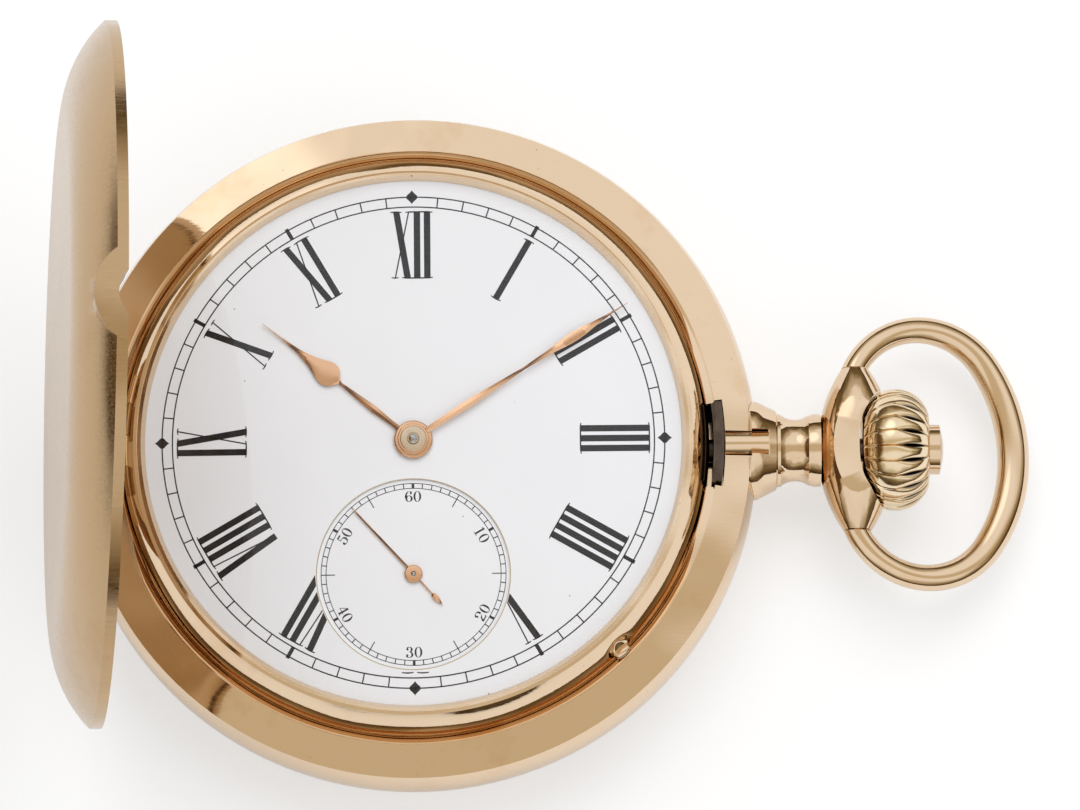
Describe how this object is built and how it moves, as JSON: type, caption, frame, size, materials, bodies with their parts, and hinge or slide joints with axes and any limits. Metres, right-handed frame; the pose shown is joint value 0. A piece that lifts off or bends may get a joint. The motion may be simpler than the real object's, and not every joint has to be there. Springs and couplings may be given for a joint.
{
  "type": "full hunter pocket watch",
  "caption": "Polished rose-gold hunter pocket watch with its lid open, white enamel dial, Roman hours, sunk seconds, fluted crown with button, oval bow and keyless lever movement",
  "frame": {"origin": "middle of the flat centre of the back cover, on which the watch lies", "axes": "+Z out of the dial, +X from the middle to the pendant and crown, +Y to twelve o'clock"},
  "size_m": [0.0763, 0.0532, 0.0607],
  "materials": {
    "polished_rose_gold": "mirror polished",
    "inner_rose_gold": "polished",
    "crystal": "clear polished",
    "white_enamel": "glossy",
    "gilt_hands": "polished",
    "dark_steel": "polished",
    "steel": "polished",
    "blued_steel": "blued",
    "gilt_brass": "gilt matte",
    "brass_wheels": "polished",
    "ruby": "clear red"
  },
  "bodies": {
    "case": {"case_middle": "polished_rose_gold", "cuvette": "inner_rose_gold", "bezel": "polished_rose_gold", "crystal": "crystal", "pendant": "polished_rose_gold", "bow_yoke": "polished_rose_gold", "bow_screw_upper": "inner_rose_gold", "bow_screw_lower": "inner_rose_gold", "front_hinge_pin": "inner_rose_gold", "back_hinge_pin": "inner_rose_gold", "lift_spring": "dark_steel", "lock_spring_screw": "blued_steel", "lift_spring_screw": "blued_steel", "dial": "white_enamel", "seconds_dial": "white_enamel", "main_plate": "gilt_brass", "barrel_bridge": "gilt_brass", "train_bridge": "gilt_brass", "balance_cock": "gilt_brass", "pallet_bridge": "gilt_brass", "jewels": "ruby", "bridge_screws": "blued_steel", "case_screws": "blued_steel", "crown_wheel_screw": "blued_steel", "hairspring": "blued_steel"},
    "front_lid": {"front_lid": "polished_rose_gold"},
    "back_cover": {"back_cover": "polished_rose_gold"},
    "bow": {"bow": "polished_rose_gold"},
    "crown": {"crown": "polished_rose_gold", "winding_stem": "steel", "winding_pinion": "steel"},
    "button": {"crown_button": "polished_rose_gold"},
    "push_rod": {"push_rod": "polished_rose_gold"},
    "catch": {"lock_spring": "dark_steel"},
    "minute_hand": {"minute_hand": "gilt_hands", "cannon_pinion": "steel"},
    "hour_hand": {"hour_hand": "gilt_hands", "hour_wheel": "brass_wheels"},
    "minute_wheel": {"minute_wheel": "brass_wheels"},
    "seconds_hand": {"fourth_wheel": "brass_wheels", "seconds_hand": "gilt_hands"},
    "third_wheel": {"third_wheel": "brass_wheels"},
    "centre_wheel": {"centre_wheel": "brass_wheels"},
    "barrel": {"barrel": "brass_wheels", "mainspring": "steel"},
    "escape_wheel": {"escape_wheel": "steel"},
    "pallet_fork": {"pallet_fork": "steel"},
    "balance": {"balance_wheel": "brass_wheels"},
    "barrel_arbor": {"barrel_arbor": "steel", "ratchet_wheel": "steel"},
    "crown_wheel": {"crown_wheel": "steel"},
    "click": {"click": "steel"}
  },
  "joints": [
    {"name": "front_lid_hinge", "type": "hinge", "parent": "case", "child": "front_lid", "pos_m": [-0.0252, 0, 0.0094], "axis": [0, -1, 0], "range_deg": [-82.6, 0], "stiffness_Nm_per_rad": 0.004, "springref_deg": 20.05},
    {"name": "back_cover_hinge", "type": "hinge", "parent": "case", "child": "back_cover", "pos_m": [-0.0252, 0, 0.0038], "axis": [0, 1, 0], "range_deg": [0, 90]},
    {"name": "bow_pivot", "type": "hinge", "parent": "case", "child": "bow", "pos_m": [0.0344, 0, 0.0066], "axis": [0, 1, 0], "range_deg": [-105, 75]},
    {"name": "crown_turn", "type": "hinge", "parent": "case", "child": "crown", "pos_m": [0.036, 0, 0.0066], "axis": [1, 0, 0], "continuous": true},
    {"name": "button_press", "type": "slide", "parent": "crown", "child": "button", "axis": [-1, 0, 0], "range_m": [0, 0.0008], "stiffness_N_per_m": 400},
    {"name": "push_rod_slide", "type": "slide", "parent": "case", "child": "push_rod", "axis": [-1, 0, 0], "range_m": [0, 0.00025]},
    {"name": "catch_release", "type": "hinge", "parent": "case", "child": "catch", "pos_m": [0.01517, -0.01808, 0.00585], "axis": [0, 0, 1], "range_deg": [0, 0.8]},
    {"name": "minute_hand_turn", "type": "hinge", "parent": "case", "child": "minute_hand", "pos_m": [0, 0, 0.0115], "axis": [0, 0, -1], "continuous": true},
    {"name": "hour_hand_turn", "type": "hinge", "parent": "case", "child": "hour_hand", "pos_m": [0, 0, 0.0111], "axis": [0, 0, -1], "continuous": true},
    {"name": "minute_wheel_turn", "type": "hinge", "parent": "case", "child": "minute_wheel", "pos_m": [0.00316, 0.00115, 0.0094], "axis": [0, 0, -1], "continuous": true},
    {"name": "seconds_hand_turn", "type": "hinge", "parent": "case", "child": "seconds_hand", "pos_m": [0, -0.0105, 0.0054], "axis": [0, 0, -1], "continuous": true},
    {"name": "third_wheel_turn", "type": "hinge", "parent": "case", "child": "third_wheel", "pos_m": [-0.00429, -0.00578, 0.005], "axis": [0, 0, -1], "continuous": true},
    {"name": "centre_wheel_turn", "type": "hinge", "parent": "case", "child": "centre_wheel", "pos_m": [0, 0, 0.0067], "axis": [0, 0, -1], "continuous": true},
    {"name": "barrel_turn", "type": "hinge", "parent": "case", "child": "barrel", "pos_m": [0.00636, 0.00636, 0.0053], "axis": [0, 0, -1], "continuous": true},
    {"name": "escape_wheel_turn", "type": "hinge", "parent": "case", "child": "escape_wheel", "pos_m": [0.00455, -0.01215, 0.0062], "axis": [0, 0, -1], "continuous": true},
    {"name": "pallet_rock", "type": "hinge", "parent": "case", "child": "pallet_fork", "pos_m": [0.00743, -0.01035, 0.0062], "axis": [0, 0, -1], "range_deg": [-4, 4]},
    {"name": "balance_swing", "type": "hinge", "parent": "case", "child": "balance", "pos_m": [0.012, -0.0075, 0.0048], "axis": [0, 0, -1], "range_deg": [-220, 220], "stiffness_Nm_per_rad": 0.000004},
    {"name": "ratchet_turn", "type": "hinge", "parent": "case", "child": "barrel_arbor", "pos_m": [0.00636, 0.00636, 0.004], "axis": [0, 0, -1], "continuous": true},
    {"name": "crown_wheel_turn", "type": "hinge", "parent": "case", "child": "crown_wheel", "pos_m": [0.01573, 0.00199, 0.004], "axis": [0, 0, -1], "continuous": true},
    {"name": "click_lift", "type": "hinge", "parent": "case", "child": "click", "pos_m": [0.00223, 0.01353, 0.004], "axis": [0, 0, -1], "range_deg": [0, 8], "stiffness_Nm_per_rad": 0.0005}
  ],
  "couplings": [
    {"joint": "push_rod_slide", "follows": "button_press", "ratio": 0.3},
    {"joint": "catch_release", "follows": "button_press", "rad_per_m": 17.017},
    {"joint": "hour_hand_turn", "follows": "minute_hand_turn", "ratio": 0.083333},
    {"joint": "minute_wheel_turn", "follows": "minute_hand_turn", "ratio": -0.33333},
    {"joint": "third_wheel_turn", "follows": "seconds_hand_turn", "ratio": -0.13333},
    {"joint": "centre_wheel_turn", "follows": "seconds_hand_turn", "ratio": 0.016667},
    {"joint": "barrel_turn", "follows": "seconds_hand_turn", "ratio": -0.0020833},
    {"joint": "escape_wheel_turn", "follows": "seconds_hand_turn", "ratio": -10},
    {"joint": "crown_wheel_turn", "follows": "crown_turn", "ratio": -0.4},
    {"joint": "ratchet_turn", "follows": "crown_turn", "ratio": 0.1875}
  ]
}
